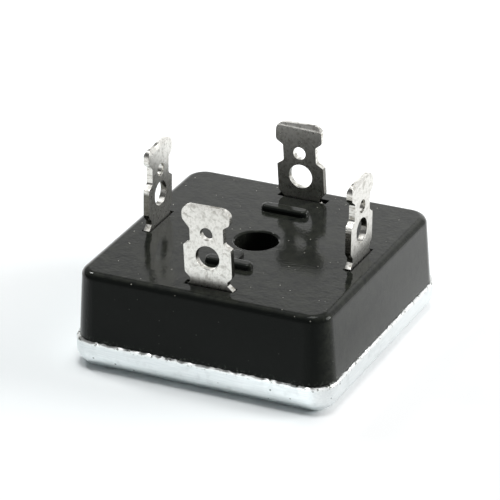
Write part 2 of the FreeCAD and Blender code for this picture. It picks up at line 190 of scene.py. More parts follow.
def merged_copy(node, name):
    """A copy of a CAD node with its triangles merged, which replaces the node.

    It rides on the one body and takes the node's finish.
    """
    source = frame["nodes"][node]
    piece = bpy.data.objects.new(name, source.data.copy())
    bpy.context.scene.collection.objects.link(piece)
    only(piece)
    bpy.ops.mesh.customdata_custom_splitnormals_clear()
    bpy.ops.object.mode_set(mode="EDIT")
    bpy.ops.mesh.select_all(action="SELECT")
    bpy.ops.mesh.remove_doubles(threshold=0.002 * MM)
    bpy.ops.mesh.dissolve_limited(angle_limit=math.radians(0.5))
    bpy.ops.object.mode_set(mode="OBJECT")
    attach(piece, BODY)
    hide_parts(node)
    return piece


def select_edges(piece, picked):
    """Select the edges of the active mesh that picked(first, second, angle) accepts."""
    bpy.ops.object.mode_set(mode="EDIT")
    bpy.ops.mesh.select_mode(type="EDGE")
    bpy.ops.mesh.select_all(action="DESELECT")
    mesh = bmesh.from_edit_mesh(piece.data)
    count = 0
    for edge in mesh.edges:
        angle = edge.calc_face_angle(0.0)
        if picked(edge.verts[0].co, edge.verts[1].co, angle):
            edge.select = True
            count += 1
    bmesh.update_edit_mesh(piece.data)
    if not count:
        raise RuntimeError("no edge of %s was picked" % piece.name)


def slice_mesh(piece, axis, places, above=-1.0):
    """Cut new edge lines square to the axis at each place, in the faces above a level."""
    only(piece)
    bpy.ops.object.mode_set(mode="EDIT")
    bpy.ops.mesh.select_mode(type="FACE")
    for place in places:
        bpy.ops.mesh.select_all(action="DESELECT")
        mesh = bmesh.from_edit_mesh(piece.data)
        for face in mesh.faces:
            face.select = face.calc_center_median().z > above
        bmesh.update_edit_mesh(piece.data)
        bpy.ops.mesh.bisect(plane_co=axis * place, plane_no=axis)
    bpy.ops.object.mode_set(mode="OBJECT")


def evenly(first, last, step):
    """Places from first to last, about a step apart."""
    count = round((last - first) / step)
    return [first + (last - first) * index / count for index in range(count + 1)]


def vertex_group(piece, name, picked):
    """A vertex group of the vertices whose place is picked."""
    group = piece.vertex_groups.new(name=name)
    chosen = [vertex.index for vertex in piece.data.vertices if picked(vertex.co)]
    if not chosen:
        raise RuntimeError("no vertex of %s was picked" % piece.name)
    group.add(chosen, 1.0, "REPLACE")
    return group.name


def roughen(piece, group, grain, depth, direction):
    """Push a vertex group about with cloud noise of that grain, up to depth."""
    noise = bpy.data.textures.new(piece.name + "_noise", "CLOUDS")
    noise.noise_scale = grain
    noise.noise_depth = 3
    apply_modifier(piece, "DISPLACE", texture=noise, texture_coords="LOCAL", vertex_group=group,
                   strength=depth, mid_level=0.5, direction=direction)


def select_vertices(piece, picked):
    """Open the piece in edit mode and select the vertices whose place is picked."""
    only(piece)
    bpy.ops.object.mode_set(mode="EDIT")
    bpy.ops.mesh.select_mode(type="VERT")
    bpy.ops.mesh.select_all(action="DESELECT")
    mesh = bmesh.from_edit_mesh(piece.data)
    for vertex in mesh.verts:
        vertex.select = picked(vertex.co)
    mesh.select_flush(True)
    bmesh.update_edit_mesh(piece.data)
    if not any(vertex.select for vertex in mesh.verts):
        raise RuntimeError("no vertex of %s was picked" % piece.name)


def push(piece, picked, move, reach):
    """Move the picked vertices, and drag those within reach along with them."""
    select_vertices(piece, picked)
    bpy.ops.transform.translate(value=move, use_proportional_edit=True,
                                proportional_edit_falloff="SMOOTH", proportional_size=reach)
    bpy.ops.object.mode_set(mode="OBJECT")


def finish_smooth(piece, degrees):
    """Smooth shading across edges up to that angle, with the flat faces kept flat."""
    only(piece)
    bpy.ops.object.shade_smooth_by_angle(angle=math.radians(degrees))
    apply_modifier(piece, "WEIGHTED_NORMAL", keep_sharp=True, weight=100)


def case_plastic():
    """Phenolic moulding compound, pressed in a polished mould.

    The eye gets a deep black with a clear gloss, a slight orange peel that wobbles the
    reflections, a thin film of dust that also carries painted sheen, a few specks and a scuffed foot.
    """
    look = bpy.context.scene.rectifier.case
    material, tree, output, coordinates = new_material("phenolic_moulding_black")
    place = coordinates.outputs["Object"]
    level = add_node(tree, "ShaderNodeSeparateXYZ", {"Vector": place})
    facing = add_node(tree, "ShaderNodeSeparateXYZ", {"Vector": coordinates.outputs["Normal"]})
    peel = add_node(tree, "ShaderNodeTexNoise", {"Vector": place, "Scale": per_metre(1.6), "Detail": 2.0})
    # The real grit is finer, and is drawn coarse enough to show
    grit = add_node(tree, "ShaderNodeTexNoise", {"Vector": place, "Scale": per_metre(0.4), "Detail": 4.0})
    smear = add_node(tree, "ShaderNodeTexNoise", {"Vector": place, "Scale": per_metre(6.0), "Detail": 4.0})
    # The film is partly real dust and partly painted sheen: it lightens all but the front wall, which is left
    # dark because the light there shows no sheen
    cloud = add_node(tree, "ShaderNodeTexNoise", {
        "Vector": place, "Scale": per_metre(1.1), "Detail": 7.0, "Roughness": 0.72})
    clouded = add_node(tree, "ShaderNodeMapRange", {
        "Value": cloud.outputs["Fac"], "From Min": 0.36, "From Max": 0.7})
    # Painted sheen: the film fades out on walls that face the front
    sheen_sides = add_node(tree, "ShaderNodeMapRange", {
        "Value": facing.outputs["Y"], "From Min": -0.85, "From Max": -0.5})
    film = add_node(tree, "ShaderNodeMath", {0: clouded, 1: sheen_sides}, operation="MULTIPLY")
    dust_and_sheen = add_node(tree, "ShaderNodeMix", {
        MIX_FACTOR: film, MIX_A: look.colour, MIX_B: look.film}, data_type="RGBA")
    # Specks sit near the points of a sparse pattern, most of them where they can settle
    dust = add_node(tree, "ShaderNodeTexVoronoi", {"Vector": place, "Scale": per_metre(1.0)})
    near = add_node(tree, "ShaderNodeMapRange", {
        "Value": dust.outputs["Distance"], "From Min": 0.05, "From Max": 0.1, "To Min": 1.0, "To Max": 0.0})
    chance = add_node(tree, "ShaderNodeSeparateColor", {"Color": dust.outputs["Color"]})
    dustier = add_node(tree, "ShaderNodeMath", {
        0: chance.outputs["Red"], 1: smear.outputs["Fac"]}, operation="ADD")
    rare = add_node(tree, "ShaderNodeMapRange", {"Value": dustier, "From Min": 1.13, "From Max": 1.28})
    settled = add_node(tree, "ShaderNodeMapRange", {
        "Value": facing.outputs["Z"], "From Min": 0.2, "From Max": 0.6, "To Min": 0.12, "To Max": 1.0})
    speck = add_node(tree, "ShaderNodeMath", {0: near, 1: rare}, operation="MULTIPLY")
    speck = add_node(tree, "ShaderNodeMath", {0: speck, 1: settled}, operation="MULTIPLY")
    dusty = add_node(tree, "ShaderNodeMix", {
        MIX_FACTOR: speck, MIX_A: dust_and_sheen.outputs[MIX_RESULT], MIX_B: linear("#a5a49b")}, data_type="RGBA")
    # Scuffs run along the foot, just above the rim
    foot = add_node(tree, "ShaderNodeMapRange", {
        "Value": level.outputs["Z"], "From Min": RIM_LEVEL + 0.25 * MM, "From Max": RIM_LEVEL + 0.7 * MM,
        "To Min": 1.0, "To Max": 0.0})
    scraped = add_node(tree, "ShaderNodeMapRange", {
        "Value": grit.outputs["Fac"], "From Min": 0.54, "From Max": 0.7})
    scuff = add_node(tree, "ShaderNodeMath", {0: foot, 1: scraped}, operation="MULTIPLY")
    colour = add_node(tree, "ShaderNodeMix", {
        MIX_FACTOR: scuff, MIX_A: dusty.outputs[MIX_RESULT], MIX_B: linear("#4f544d")}, data_type="RGBA")
    gloss = add_node(tree, "ShaderNodeMapRange", {
        "Value": smear.outputs["Fac"], "From Min": 0.35, "From Max": 0.7,
        "To Min": look.roughness, "To Max": look.roughness + 0.05})
    fine = add_node(tree, "ShaderNodeBump", {
        "Height": grit.outputs["Fac"], "Strength": 1.0, "Distance": look.grit * MM})
    bump = add_node(tree, "ShaderNodeBump", {
        "Height": peel.outputs["Fac"], "Strength": 1.0, "Distance": look.peel * MM, "Normal": fine})
    shader = add_node(tree, "ShaderNodeBsdfPrincipled", {
        "Base Color": colour.outputs[MIX_RESULT], "Roughness": gloss, "IOR": look.ior,
        "Specular Tint": look.tint, "Normal": bump})
    tree.links.new(shader.outputs["BSDF"], output.inputs["Surface"])
    return material


def along_the_wall(tree, coordinates, fine, run):
    """Noise drawn out along each wall: lines of width fine and length run, in mm."""
    place = coordinates.outputs["Object"]
    facing = add_node(tree, "ShaderNodeSeparateXYZ", {"Vector": coordinates.outputs["Normal"]})
    side = add_node(tree, "ShaderNodeMath", {0: facing.outputs["X"]}, operation="ABSOLUTE")
    sideways = add_node(tree, "ShaderNodeMapRange", {"Value": side, "From Min": 0.65, "From Max": 0.75})
    front = add_node(tree, "ShaderNodeMapping", {"Vector": place, "Scale": (fine / run, 1, 1)})
    flank = add_node(tree, "ShaderNodeMapping", {"Vector": place, "Scale": (1, fine / run, 1)})
    chosen = add_node(tree, "ShaderNodeMix", {
        MIX_FACTOR: sideways, MIX_A: front, MIX_B: flank}, data_type="RGBA")
    return add_node(tree, "ShaderNodeTexNoise", {
        "Vector": chosen.outputs[MIX_RESULT], "Scale": per_metre(fine), "Detail": 4.0})


def base_aluminium():
    """Drawn aluminium sheet, tumbled bright.

    The eye gets a satin silver with fine draw lines along each wall, small pits and
    dull grey rubs where it was handled.
    """
    look = bpy.context.scene.rectifier.base
    material, tree, output, coordinates = new_material("drawn_aluminium")
    place = coordinates.outputs["Object"]
    # The real draw lines are finer; this is the finest that shows
    lines = along_the_wall(tree, coordinates, fine=0.14, run=2.5)
    drawn = add_node(tree, "ShaderNodeMapRange", {
        "Value": lines, "From Min": 0.35, "From Max": 0.65, "To Min": 0.0, "To Max": 0.5})
    streak = add_node(tree, "ShaderNodeMix", {
        MIX_FACTOR: drawn, MIX_A: look.colour, MIX_B: linear("#f2f5f5")}, data_type="RGBA")
    mottle = add_node(tree, "ShaderNodeTexNoise", {"Vector": place, "Scale": per_metre(1.3), "Detail": 5.0})
    handled = add_node(tree, "ShaderNodeMapRange", {
        "Value": mottle.outputs["Fac"], "From Min": 0.55, "From Max": 0.75, "To Min": 0.0, "To Max": 0.4})
    rubbed = add_node(tree, "ShaderNodeMix", {
        MIX_FACTOR: handled, MIX_A: streak.outputs[MIX_RESULT], MIX_B: linear("#b9bdbd")}, data_type="RGBA")
    pits = add_node(tree, "ShaderNodeTexVoronoi", {"Vector": place, "Scale": per_metre(1.7)})
    near = add_node(tree, "ShaderNodeMapRange", {
        "Value": pits.outputs["Distance"], "From Min": 0.05, "From Max": 0.1, "To Min": 1.0, "To Max": 0.0})
    chance = add_node(tree, "ShaderNodeSeparateColor", {"Color": pits.outputs["Color"]})
    rare = add_node(tree, "ShaderNodeMapRange", {
        "Value": chance.outputs["Green"], "From Min": 0.7, "From Max": 0.72})
    pit = add_node(tree, "ShaderNodeMath", {0: near, 1: rare}, operation="MULTIPLY")
    pitted = add_node(tree, "ShaderNodeMix", {
        MIX_FACTOR: pit, MIX_A: rubbed.outputs[MIX_RESULT], MIX_B: linear("#6e7374")}, data_type="RGBA")
    # The rim's top band is painted brighter, a painted highlight along the joint, with patches of painted
    # shade where the gap under the case's foot falls dark
    level = add_node(tree, "ShaderNodeSeparateXYZ", {"Vector": place})
    # Painted highlight: the top band of the rim is mixed toward a brighter silver
    lip = add_node(tree, "ShaderNodeMapRange", {
        "Value": level.outputs["Z"], "From Min": RIM_LEVEL - 0.55 * MM, "From Max": RIM_LEVEL - 0.15 * MM})
    bright = add_node(tree, "ShaderNodeMix", {
        MIX_FACTOR: lip, MIX_A: pitted.outputs[MIX_RESULT], MIX_B: linear("#f0f2f1")}, data_type="RGBA")
    # Painted shade: dark patches in the rim's top band, for the shadow in the gap under the case
    gap_shade_noise = add_node(tree, "ShaderNodeTexNoise", {"Vector": place, "Scale": per_metre(0.45), "Detail": 3.0})
    painted_gap_shade = add_node(tree, "ShaderNodeMapRange", {
        "Value": gap_shade_noise.outputs["Fac"], "From Min": 0.56, "From Max": 0.66})
    gap_shaded = add_node(tree, "ShaderNodeMath", {0: lip, 1: painted_gap_shade}, operation="MULTIPLY")
    colour = add_node(tree, "ShaderNodeMix", {
        MIX_FACTOR: gap_shaded, MIX_A: bright.outputs[MIX_RESULT], MIX_B: linear("#6a6d67")}, data_type="RGBA")
    gloss = add_node(tree, "ShaderNodeMapRange", {
        "Value": lines, "From Min": 0.3, "From Max": 0.7,
        "To Min": look.roughness - 0.03, "To Max": look.roughness + 0.04})
    relief = add_node(tree, "ShaderNodeMath", {0: lines, 1: pit}, operation="SUBTRACT")
    bump = add_node(tree, "ShaderNodeBump", {"Height": relief, "Strength": 1.0, "Distance": 0.005 * MM})
    shader = add_node(tree, "ShaderNodeBsdfPrincipled", {
        "Base Color": colour.outputs[MIX_RESULT], "Metallic": 1.0, "Roughness": gloss, "Normal": bump})
    tree.links.new(shader.outputs["BSDF"], output.inputs["Surface"])
    return material


def tinned_brass(name, colour, dull, low_edge_shade, roughness, stretch, depth):
    """Brass strip, stamped and then tin plated.

    The eye gets a soft silver with fine dull lines, drawn out as stretch says and depth mm
    deep, and slightly warm stains. Where the edge shade given is above 0, as on the sheared
    edges, upright faces are painted darker up to the shoulders: a painted reflection of the dark case.
    """
    material, tree, output, coordinates = new_material(name)
    place = coordinates.outputs["Object"]
    drawn = add_node(tree, "ShaderNodeMapping", {"Vector": place, "Scale": stretch})
    # The real lines are finer, and are drawn coarse enough to show
    lines = add_node(tree, "ShaderNodeTexNoise", {"Vector": drawn, "Scale": per_metre(0.3), "Detail": 4.0})
    clean = add_node(tree, "ShaderNodeMapRange", {
        "Value": lines.outputs["Fac"], "From Min": 0.3, "From Max": 0.5})
    streak = add_node(tree, "ShaderNodeMix", {
        MIX_FACTOR: clean, MIX_A: dull, MIX_B: colour}, data_type="RGBA")
    stain = add_node(tree, "ShaderNodeTexNoise", {
        "Vector": place, "Scale": per_metre(0.7), "Detail": 6.0, "Distortion": 0.6})
    tarnish = add_node(tree, "ShaderNodeMapRange", {
        "Value": stain.outputs["Fac"], "From Min": 0.52, "From Max": 0.66, "To Min": 0.0, "To Max": 0.6})
    stained = add_node(tree, "ShaderNodeMix", {
        MIX_FACTOR: tarnish, MIX_A: streak.outputs[MIX_RESULT], MIX_B: linear("#95928a")}, data_type="RGBA")
    level = add_node(tree, "ShaderNodeSeparateXYZ", {"Vector": place})
    facing = add_node(tree, "ShaderNodeSeparateXYZ", {"Vector": coordinates.outputs["Normal"]})
    # Painted reflection: upright faces below the shoulders are darkened, for the dark case that they mirror
    low = add_node(tree, "ShaderNodeMapRange", {
        "Value": level.outputs["Z"], "From Min": EDGE_SHADE_END, "From Max": EDGE_SHADE_END + 0.4 * MM,
        "To Min": low_edge_shade, "To Max": 0.0})
    upright = add_node(tree, "ShaderNodeMapRange", {
        "Value": facing.outputs["Z"], "From Min": 0.1, "From Max": 0.4, "To Min": 1.0, "To Max": 0.0})
    painted_edge_shade = add_node(tree, "ShaderNodeMath", {0: low, 1: upright}, operation="MULTIPLY")
    edge_shaded = add_node(tree, "ShaderNodeMix", {
        MIX_FACTOR: painted_edge_shade, MIX_A: stained.outputs[MIX_RESULT], MIX_B: linear("#4a4840")}, data_type="RGBA")
    gloss = add_node(tree, "ShaderNodeMapRange", {
        "Value": stain.outputs["Fac"], "From Min": 0.3, "From Max": 0.7,
        "To Min": roughness - 0.03, "To Max": roughness + 0.05})
    bump = add_node(tree, "ShaderNodeBump", {
        "Height": lines.outputs["Fac"], "Strength": 1.0, "Distance": depth * MM})
    shader = add_node(tree, "ShaderNodeBsdfPrincipled", {
        "Base Color": edge_shaded.outputs[MIX_RESULT], "Metallic": 1.0, "Roughness": gloss, "Normal": bump})
    tree.links.new(shader.outputs["BSDF"], output.inputs["Surface"])
    return material


def plain_finish(name, hex_colour, hex_spots, metallic, roughness, grain):
    """A hidden piece's finish: its colour, mottled at the grain's size in mm."""
    material, tree, output, coordinates = new_material(name)
    mottle = add_node(tree, "ShaderNodeTexNoise", {
        "Vector": coordinates.outputs["Object"], "Scale": per_metre(grain), "Detail": 3.0})
    spots = add_node(tree, "ShaderNodeMapRange", {
        "Value": mottle.outputs["Fac"], "From Min": 0.4, "From Max": 0.65})
    colour = add_node(tree, "ShaderNodeMix", {
        MIX_FACTOR: spots, MIX_A: linear(hex_colour), MIX_B: linear(hex_spots)}, data_type="RGBA")
    bump = add_node(tree, "ShaderNodeBump", {
        "Height": mottle.outputs["Fac"], "Strength": 1.0, "Distance": 0.01 * MM})
    shader = add_node(tree, "ShaderNodeBsdfPrincipled", {
        "Base Color": colour.outputs[MIX_RESULT], "Metallic": metallic, "Roughness": roughness,
        "Normal": bump})
    tree.links.new(shader.outputs["BSDF"], output.inputs["Surface"])
    return material


def paint(piece, material):
    """Give the whole piece one material."""
    piece.data.materials.clear()
    piece.data.materials.append(material)


class CaseLook(bpy.types.PropertyGroup):
    colour: bpy.props.FloatVectorProperty(
        name="Colour", description="Colour of the moulding compound", subtype="COLOR", size=4,
        default=linear("#161817"), min=0, max=1)
    # The dust film's colour also serves as painted sheen, on all but the front wall
    film: bpy.props.FloatVectorProperty(
        name="Dust film", description="Colour of the thickest dust film", subtype="COLOR", size=4,
        default=linear("#2d2f29"), min=0, max=1)
    roughness: bpy.props.FloatProperty(
        name="Roughness", description="Roughness of the polished moulding", subtype="FACTOR",
        default=0.085, min=0, max=1)
    tint: bpy.props.FloatVectorProperty(
        name="Gloss tint", description="How much gloss the case has seen head on", subtype="COLOR", size=4,
        default=linear("#585b58"), min=0, max=1)
    ior: bpy.props.FloatProperty(
        name="IOR", description="Index of refraction of the moulding compound", default=1.5, min=1)
    peel: bpy.props.FloatProperty(
        name="Orange peel", description="Depth of the orange peel, in mm", default=0.009, min=0)
    grit: bpy.props.FloatProperty(
        name="Grit", description="Depth of the finest grain, in mm", default=0.008, min=0)
    edge_break: bpy.props.FloatProperty(
        name="Edge break", description="Softness of the hole, the slots and the signs' feet",
        subtype="DISTANCE", unit="LENGTH", default=0.08 * MM)
    sign_round: bpy.props.FloatProperty(
        name="Sign rounding", description="Rounding of the signs' upper edges", subtype="DISTANCE",
        unit="LENGTH", default=0.16 * MM)


class BaseLook(bpy.types.PropertyGroup):
    colour: bpy.props.FloatVectorProperty(
        name="Colour", description="Colour of the bare aluminium", subtype="COLOR", size=4,
        default=linear("#dbe0e1"), min=0, max=1)
    roughness: bpy.props.FloatProperty(
        name="Roughness", description="Roughness of the tumbled surface", subtype="FACTOR",
        default=0.34, min=0.1, max=1)
    chip: bpy.props.FloatProperty(
        name="Rim wear", description="Height of the waves in the rim's upper edge", subtype="DISTANCE",
        unit="LENGTH", default=0.5 * MM)


class LugLook(bpy.types.PropertyGroup):
    colour: bpy.props.FloatVectorProperty(
        name="Colour", description="Colour of the tin plating", subtype="COLOR", size=4,
        default=linear("#dbdad5"), min=0, max=1)
    roughness: bpy.props.FloatProperty(
        name="Roughness", description="Roughness of the plating", subtype="FACTOR",
        default=0.29, min=0.1, max=1)
    sheared: bpy.props.FloatProperty(
        name="Edge roughness", description="Roughness of the sheared edges", subtype="FACTOR",
        default=0.2, min=0.1, max=1)
    edge_break: bpy.props.FloatProperty(
        name="Edge break", description="Rounding of the stamped edges", subtype="DISTANCE",
        unit="LENGTH", default=0.15 * MM)


class StudioLook(bpy.types.PropertyGroup):
    azimuth: bpy.props.FloatProperty(
        name="Azimuth", description="Camera direction round the part", subtype="ANGLE",
        default=math.radians(25.70))
    elevation: bpy.props.FloatProperty(
        name="Elevation", description="Camera height above the horizon", subtype="ANGLE",
        default=math.radians(25.986))
    roll: bpy.props.FloatProperty(
        name="Roll", description="Camera turn about its own axis", subtype="ANGLE",
        default=math.radians(-0.818))
    distance: bpy.props.FloatProperty(
        name="Distance", description="Camera to target", subtype="DISTANCE", unit="LENGTH", default=0.475)
    target: bpy.props.FloatVectorProperty(
        name="Target", description="Point at the middle of the picture", subtype="TRANSLATION",
        unit="LENGTH", default=(-6.695 * MM, 12.016 * MM, 4.904 * MM))
    lens: bpy.props.FloatProperty(
        name="Lens", description="Focal length on a 36 mm sensor", subtype="DISTANCE_CAMERA",
        unit="CAMERA", default=266.65, min=1)
    floor: bpy.props.FloatVectorProperty(
        name="Floor", description="Colour of the floor", subtype="COLOR", size=4,
        default=linear("#f7f9f9"), min=0, max=1)
    floor_seen: bpy.props.FloatVectorProperty(
        name="Floor seen", description="Tone of the floor in the picture and in gloss", subtype="COLOR",
        size=4, default=(1.03, 1.07, 1.08, 1), min=0, max=2)
    floor_back: bpy.props.FloatProperty(
        name="Floor behind", description="How bright gloss shows the floor behind the part",
        default=1.6, min=0)
    horizon: bpy.props.FloatProperty(
        name="Sweep", description="Light from the white sweep behind the part", default=1.36, min=0)
    horizon_right: bpy.props.FloatProperty(
        name="Sweep right", description="Light from the right end of the sweep", default=0.7, min=0)
    viewer: bpy.props.FloatProperty(
        name="Viewer's side", description="Light that gloss shows from the room behind the viewer",
        default=0.25, min=0)
    ceiling: bpy.props.FloatProperty(
        name="Ceiling", description="Light that gloss shows from all other sides",
        default=0.12, min=0)
    crown: bpy.props.FloatProperty(
        name="Crown", description="Light that gloss shows round the softbox overhead", default=1.2, min=0)
    dome: bpy.props.FloatProperty(
        name="Dome", description="Soft light from above, on all that is not glossy", default=0.4, min=0)
    key: bpy.props.FloatProperty(
        name="Overhead", description="Power of the softbox overhead", unit="POWER", default=4.7, min=0)
    side: bpy.props.FloatProperty(
        name="Side", description="Power of the low softbox at the right", unit="POWER", default=3.6, min=0)
    left: bpy.props.FloatProperty(
        name="Left", description="Power of the small softbox at the left", unit="POWER", default=1.8, min=0)


class RectifierLook(bpy.types.PropertyGroup):
    case: bpy.props.PointerProperty(name="Case", description="Moulded case", type=CaseLook)
    base: bpy.props.PointerProperty(name="Base", description="Drawn base", type=BaseLook)
    lug: bpy.props.PointerProperty(name="Lugs", description="Stamped lugs", type=LugLook)
    studio: bpy.props.PointerProperty(name="Studio", description="Camera, lamps and floor", type=StudioLook)


class RECTIFIER_OT_case(bpy.types.Operator):
    """Build the moulded case with softened slot and sign edges"""
    bl_idname = "rectifier.case"
    bl_label = "Moulded case"

    def execute(self, context):
        look = context.scene.rectifier.case
        case = merged_copy("case", "moulded_case")

        def sign_crown(first, second, angle):
            return min(first.z, second.z) > SIGN_CROWN and angle > CASE_CORNER

        def mouth_or_foot(first, second, angle):
            level = max(abs(first.z - TOP_LEVEL), abs(second.z - TOP_LEVEL)) < FLUSH
            return level and angle > CASE_CORNER

        select_edges(case, sign_crown)
        bpy.ops.mesh.bevel(offset=look.sign_round, segments=3, affect="EDGES", clamp_overlap=True)
        select_edges(case, mouth_or_foot)
        bpy.ops.mesh.bevel(offset=look.edge_break, segments=2, affect="EDGES", clamp_overlap=True)
        bpy.ops.object.mode_set(mode="OBJECT")
        finish_smooth(case, degrees=32)
        paint(case, case_plastic())
        return {"FINISHED"}


class RECTIFIER_OT_base(bpy.types.Operator):
    """Build the drawn base with its worn rim"""
    bl_idname = "rectifier.base"
    bl_label = "Drawn base"

    def execute(self, context):
        look = context.scene.rectifier.base
        base = merged_copy("heatsink_base", "drawn_base")
        for axis in (Vector((1, 0, 0)), Vector((0, 1, 0))):
            slice_mesh(base, axis, evenly(-WALL_REACH, WALL_REACH, step=0.3 * MM))
        slice_mesh(base, Vector((0, 0, 1)), [LIP_ROOT])

        def on_lip(place):
            outside = max(abs(place.x), abs(place.y)) > BASE_REACH - LIP
            return outside and place.z > RIM_LEVEL - LIP

        lip = vertex_group(base, "lip", on_lip)
        roughen(base, lip, grain=0.6 * MM, depth=look.chip, direction="Z")
        finish_smooth(base, degrees=32)
        paint(base, base_aluminium())
        return {"FINISHED"}


class RECTIFIER_OT_lugs(bpy.types.Operator):
    """Build the four stamped lugs with broken edges"""
    bl_idname = "rectifier.lugs"
    bl_label = "Stamped lugs"

    def execute(self, context):
        look = context.scene.rectifier.lug
        rolled = tinned_brass("tin_plated_brass", look.colour, dull=linear("#bfbeb8"), low_edge_shade=0.0,
                              roughness=look.roughness, stretch=(1, 1, 0.7), depth=0.006)
        # The sheared edges get a painted reflection of the dark case low down
        sheared = tinned_brass("sheared_tin_plated_brass", look.colour, dull=linear("#99968c"), low_edge_shade=0.9,
                               roughness=look.sheared, stretch=(0.3, 0.3, 1), depth=0.02)
        for node, name, through in LUGS:
            lug = merged_copy(node, name)
            if name == "lug_positive":
                self.flatten_bevel(lug)
            select_edges(lug, lambda first, second, angle: angle > LUG_CORNER)
            bpy.ops.mesh.bevel(offset=look.edge_break, segments=5, affect="EDGES", clamp_overlap=True)
            bpy.ops.object.mode_set(mode="OBJECT")
            self.bend(lug)
            finish_smooth(lug, degrees=20)
            paint(lug, rolled)
            lug.data.materials.append(sheared)
            for face in lug.data.polygons:
                face.material_index = int(abs(face.normal[through]) < 0.5)
        return {"FINISHED"}

    def flatten_bevel(self, lug):
        """Press the outer bevel of the front lug's tip nearly flat, as on the real one."""
        outer = min(vertex.co.y for vertex in lug.data.vertices if vertex.co.z > TOP_LEVEL)
        select_vertices(lug, lambda place: place.z > POSITIVE_BEVEL and place.y < outer + BEVEL_DEPTH)
        bpy.ops.transform.resize(value=(1, 0.4, 1), center_override=(0, outer, 0))
        bpy.ops.object.mode_set(mode="OBJECT")

    def bend(self, lug):
        """Dent the left lug's tip and raise the negative one's, as handling left them."""
        up = Vector((0, 0, 1))
        if lug.name == "lug_ac_left":
            slice_mesh(lug, up, [LEFT_HEAD])
            slice_mesh(lug, Vector((0, 1, 0)), evenly(*LEFT_WIDTH, step=0.3 * MM), above=LEFT_HEAD)
            slice_mesh(lug, up, evenly(*LEFT_RISE, step=0.2 * MM), above=LEFT_HEAD)
            push(lug, lambda place: place.z > LEFT_TIP and LEFT_DENT[0] < place.y < LEFT_DENT[1],
                 move=Vector((0, 0, -0.14)) * MM, reach=1.1 * MM)
        elif lug.name == "lug_negative":
            slice_mesh(lug, up, evenly(*NEGATIVE_RISE, step=0.2 * MM))
            push(lug, lambda place: place.z > NEGATIVE_TIP,
                 move=Vector((0, 0, 0.45)) * MM, reach=1.3 * MM)


class RECTIFIER_OT_inner(bpy.types.Operator):
    """Give the sealed inner pieces their finishes"""
    bl_idname = "rectifier.inner"
    bl_label = "Inner pieces"

    def execute(self, context):
        finishes = {
            # Electrolytic copper strip, rolled: warm red with browner, oxidised spots
            "bare_copper": plain_finish("copper_strip", "#b8714c", "#8f5237",
                                        metallic=1.0, roughness=0.35, grain=0.8),
            # Alumina, pressed and fired: chalk white and matt
            "insulator_ceramic": plain_finish("fired_alumina", "#e9e7e0", "#dcd9d0",
                                              metallic=0.0, roughness=0.7, grain=0.3),
            # Silicon, lapped: dark and nearly a mirror
            "silicon": plain_finish("lapped_silicon", "#3b4048", "#31353c",
                                    metallic=0.0, roughness=0.15, grain=0.5),
            # Tin-lead solder, reflowed: dull silver
            "solder": plain_finish("reflowed_solder", "#a2a5a9", "#8b8e92",
                                   metallic=1.0, roughness=0.45, grain=0.4),
            # Filled epoxy, poured and cured: matt black
            "potting_resin": plain_finish("epoxy_potting", "#141415", "#1e1e20",
                                          metallic=0.0, roughness=0.55, grain=0.6),
        }
        for part in frame["record"]["subparts"]:
            if part["material_slot"] in finishes:
                paint(frame["nodes"][part["node"]], finishes[part["material_slot"]])
        return {"FINISHED"}


